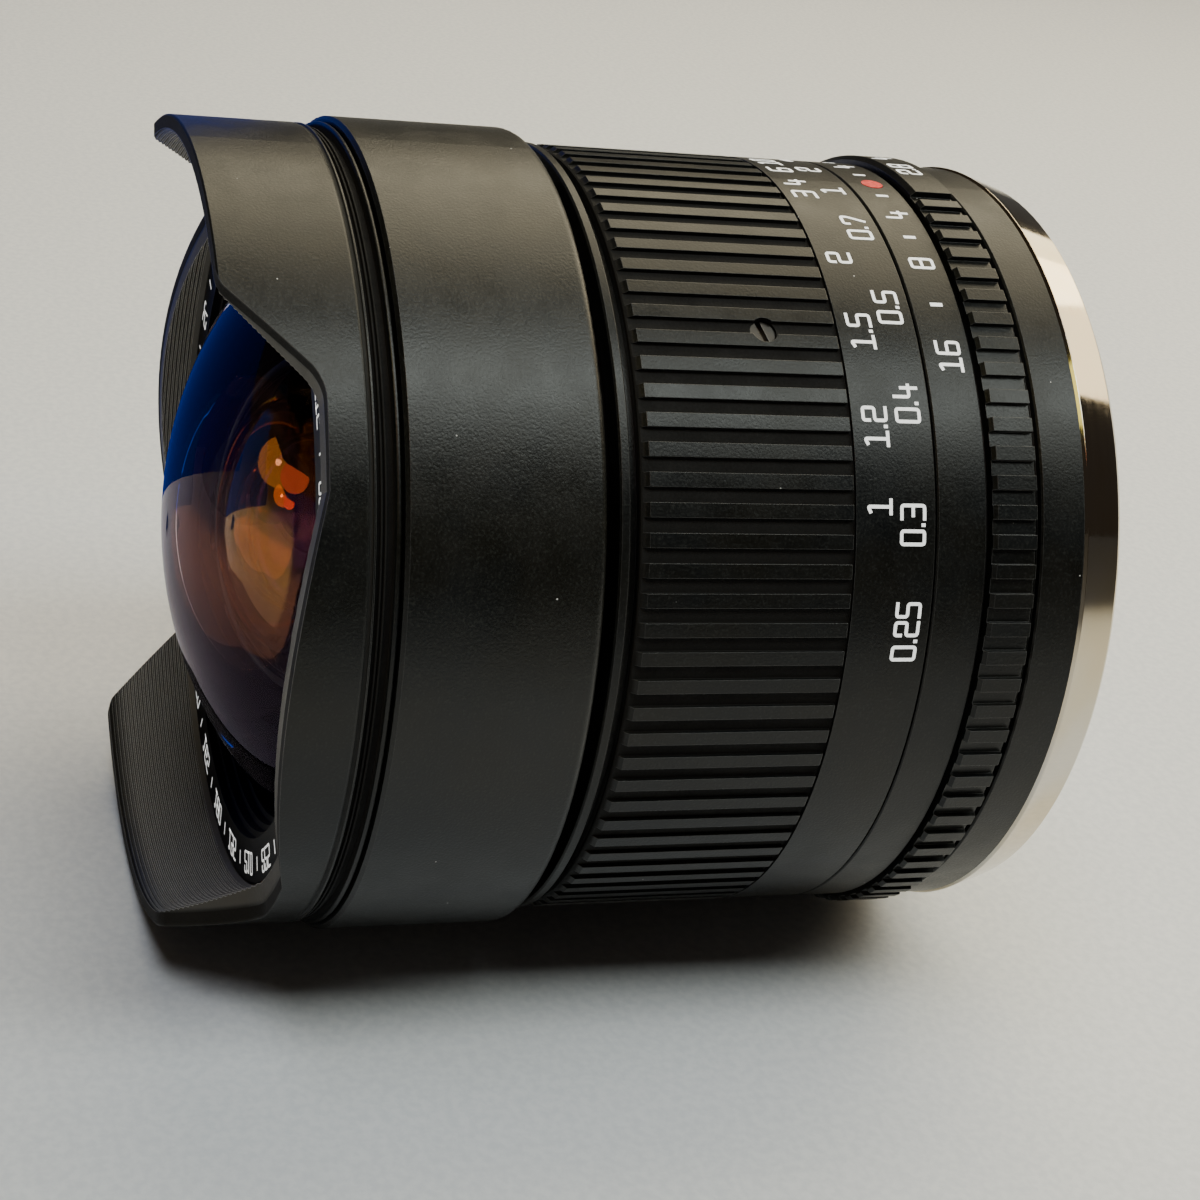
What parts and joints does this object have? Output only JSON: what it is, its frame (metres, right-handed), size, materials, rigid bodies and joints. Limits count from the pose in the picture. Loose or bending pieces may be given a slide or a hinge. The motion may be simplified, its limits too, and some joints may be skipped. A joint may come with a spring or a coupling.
{
  "type": "wide-angle camera lens",
  "caption": "Manual fisheye camera lens with a domed front glass, petal hood, ribbed focusing ring, ribbed aperture ring and a chrome bayonet mount.",
  "frame": {"origin": "centre of the mount flange's rear face, on the optical axis", "axes": "+Y along the optical axis towards the camera, -Y towards the subject, +Z through the index dot and the upper petal, +X to the side that carries the shorter focusing distances in the picture"},
  "size_m": [0.07, 0.0788, 0.07],
  "materials": {
    "black_anodised": "black anodised, satin, fine bead-blast grain",
    "inner_black": "matt black anodised inside",
    "coated_glass": "polished, multi-coated",
    "chrome": "turned and polished, satin",
    "brass": "machined",
    "blade_steel": "blackened spring steel",
    "dark_steel": "blackened steel",
    "bright_steel": "bright steel",
    "red_paint": "red enamel"
  },
  "bodies": {
    "housing": {"fixed_barrel": "black_anodised", "index_dot": "red_paint", "thrust_ring": "inner_black", "thrust_ring_screws": "dark_steel", "guide_keys": "brass", "guide_key_screws": "dark_steel", "focus_stop_pin": "bright_steel", "click_ball": "bright_steel", "click_spring": "dark_steel", "rear_collar": "black_anodised", "mount_ring": "chrome", "mount_screws": "bright_steel", "rear_baffle": "inner_black", "rear_baffle_screws": "dark_steel"},
    "focus_unit": {"focus_ring": "black_anodised", "focus_set_screws": "dark_steel", "helicoid_nut": "inner_black", "clamp_ring": "black_anodised"},
    "lens_unit": {"petal_hood": "black_anodised", "front_barrel": "black_anodised", "name_ring": "black_anodised", "front_cell": "inner_black", "front_cell_screws": "dark_steel", "second_element_ring": "inner_black", "optics_barrel": "inner_black", "middle_cell": "inner_black", "middle_cell_screws": "dark_steel", "third_element_ring": "inner_black", "fifth_element_ring": "inner_black", "iris_housing": "inner_black", "iris_housing_screws": "dark_steel", "iris_cover": "inner_black", "rear_cell": "inner_black", "sixth_element_ring": "inner_black", "rear_spacer": "inner_black", "rear_element_ring": "inner_black", "front_element": "coated_glass", "second_element": "coated_glass", "third_element": "coated_glass", "fourth_element": "coated_glass", "fifth_element": "coated_glass", "sixth_element": "coated_glass", "seventh_element": "coated_glass", "eighth_element": "coated_glass", "ninth_element": "coated_glass", "tenth_element": "coated_glass", "eleventh_element": "coated_glass"},
    "aperture_unit": {"aperture_ring": "black_anodised", "aperture_link": "inner_black", "aperture_link_screw": "dark_steel"},
    "iris_cam": {"iris_cam_ring": "inner_black", "iris_lever": "blade_steel"},
    "blade_1": {"iris_blade_1": "blade_steel"},
    "blade_2": {"iris_blade_2": "blade_steel"},
    "blade_3": {"iris_blade_3": "blade_steel"},
    "blade_4": {"iris_blade_4": "blade_steel"},
    "blade_5": {"iris_blade_5": "blade_steel"},
    "blade_6": {"iris_blade_6": "blade_steel"},
    "blade_7": {"iris_blade_7": "blade_steel"}
  },
  "joints": [
    {"name": "focus_turn", "type": "hinge", "parent": "housing", "child": "focus_unit", "pos_m": [0, -0.03, 0], "axis": [0, -1, 0], "range_deg": [-14.5, 77]},
    {"name": "lens_slide", "type": "slide", "parent": "housing", "child": "lens_unit", "axis": [0, -1, 0], "range_m": [-0.00011725, 0.0006227]},
    {"name": "aperture_turn", "type": "hinge", "parent": "housing", "child": "aperture_unit", "pos_m": [0, -0.011, 0], "axis": [0, 1, 0], "range_deg": [0, 42]},
    {"name": "iris_cam_turn", "type": "hinge", "parent": "lens_unit", "child": "iris_cam", "pos_m": [0, -0.035, 0], "axis": [0, 1, 0], "range_deg": [0, 42]},
    {"name": "blade_1_turn", "type": "hinge", "parent": "lens_unit", "child": "blade_1", "pos_m": [0, -0.0365, 0.0112], "axis": [0, 1, 0], "range_deg": [0, 23.4]},
    {"name": "blade_2_turn", "type": "hinge", "parent": "lens_unit", "child": "blade_2", "pos_m": [0.00876, -0.0365, 0.00698], "axis": [0, 1, 0], "range_deg": [0, 23.4]},
    {"name": "blade_3_turn", "type": "hinge", "parent": "lens_unit", "child": "blade_3", "pos_m": [0.01092, -0.0365, -0.00249], "axis": [0, 1, 0], "range_deg": [0, 23.4]},
    {"name": "blade_4_turn", "type": "hinge", "parent": "lens_unit", "child": "blade_4", "pos_m": [0.00486, -0.0365, -0.01009], "axis": [0, 1, 0], "range_deg": [0, 23.4]},
    {"name": "blade_5_turn", "type": "hinge", "parent": "lens_unit", "child": "blade_5", "pos_m": [-0.00486, -0.0365, -0.01009], "axis": [0, 1, 0], "range_deg": [0, 23.4]},
    {"name": "blade_6_turn", "type": "hinge", "parent": "lens_unit", "child": "blade_6", "pos_m": [-0.01092, -0.0365, -0.00249], "axis": [0, 1, 0], "range_deg": [0, 23.4]},
    {"name": "blade_7_turn", "type": "hinge", "parent": "lens_unit", "child": "blade_7", "pos_m": [-0.00876, -0.0365, 0.00698], "axis": [0, 1, 0], "range_deg": [0, 23.4]}
  ],
  "couplings": [
    {"joint": "focus_turn", "follows": "lens_slide", "rad_per_m": 2158.1},
    {"joint": "iris_cam_turn", "follows": "aperture_turn", "ratio": 1},
    {"joint": "blade_1_turn", "follows": "aperture_turn", "ratio": 0.55684},
    {"joint": "blade_2_turn", "follows": "aperture_turn", "ratio": 0.55684},
    {"joint": "blade_3_turn", "follows": "aperture_turn", "ratio": 0.55684},
    {"joint": "blade_4_turn", "follows": "aperture_turn", "ratio": 0.55684},
    {"joint": "blade_5_turn", "follows": "aperture_turn", "ratio": 0.55684},
    {"joint": "blade_6_turn", "follows": "aperture_turn", "ratio": 0.55684},
    {"joint": "blade_7_turn", "follows": "aperture_turn", "ratio": 0.55684}
  ]
}
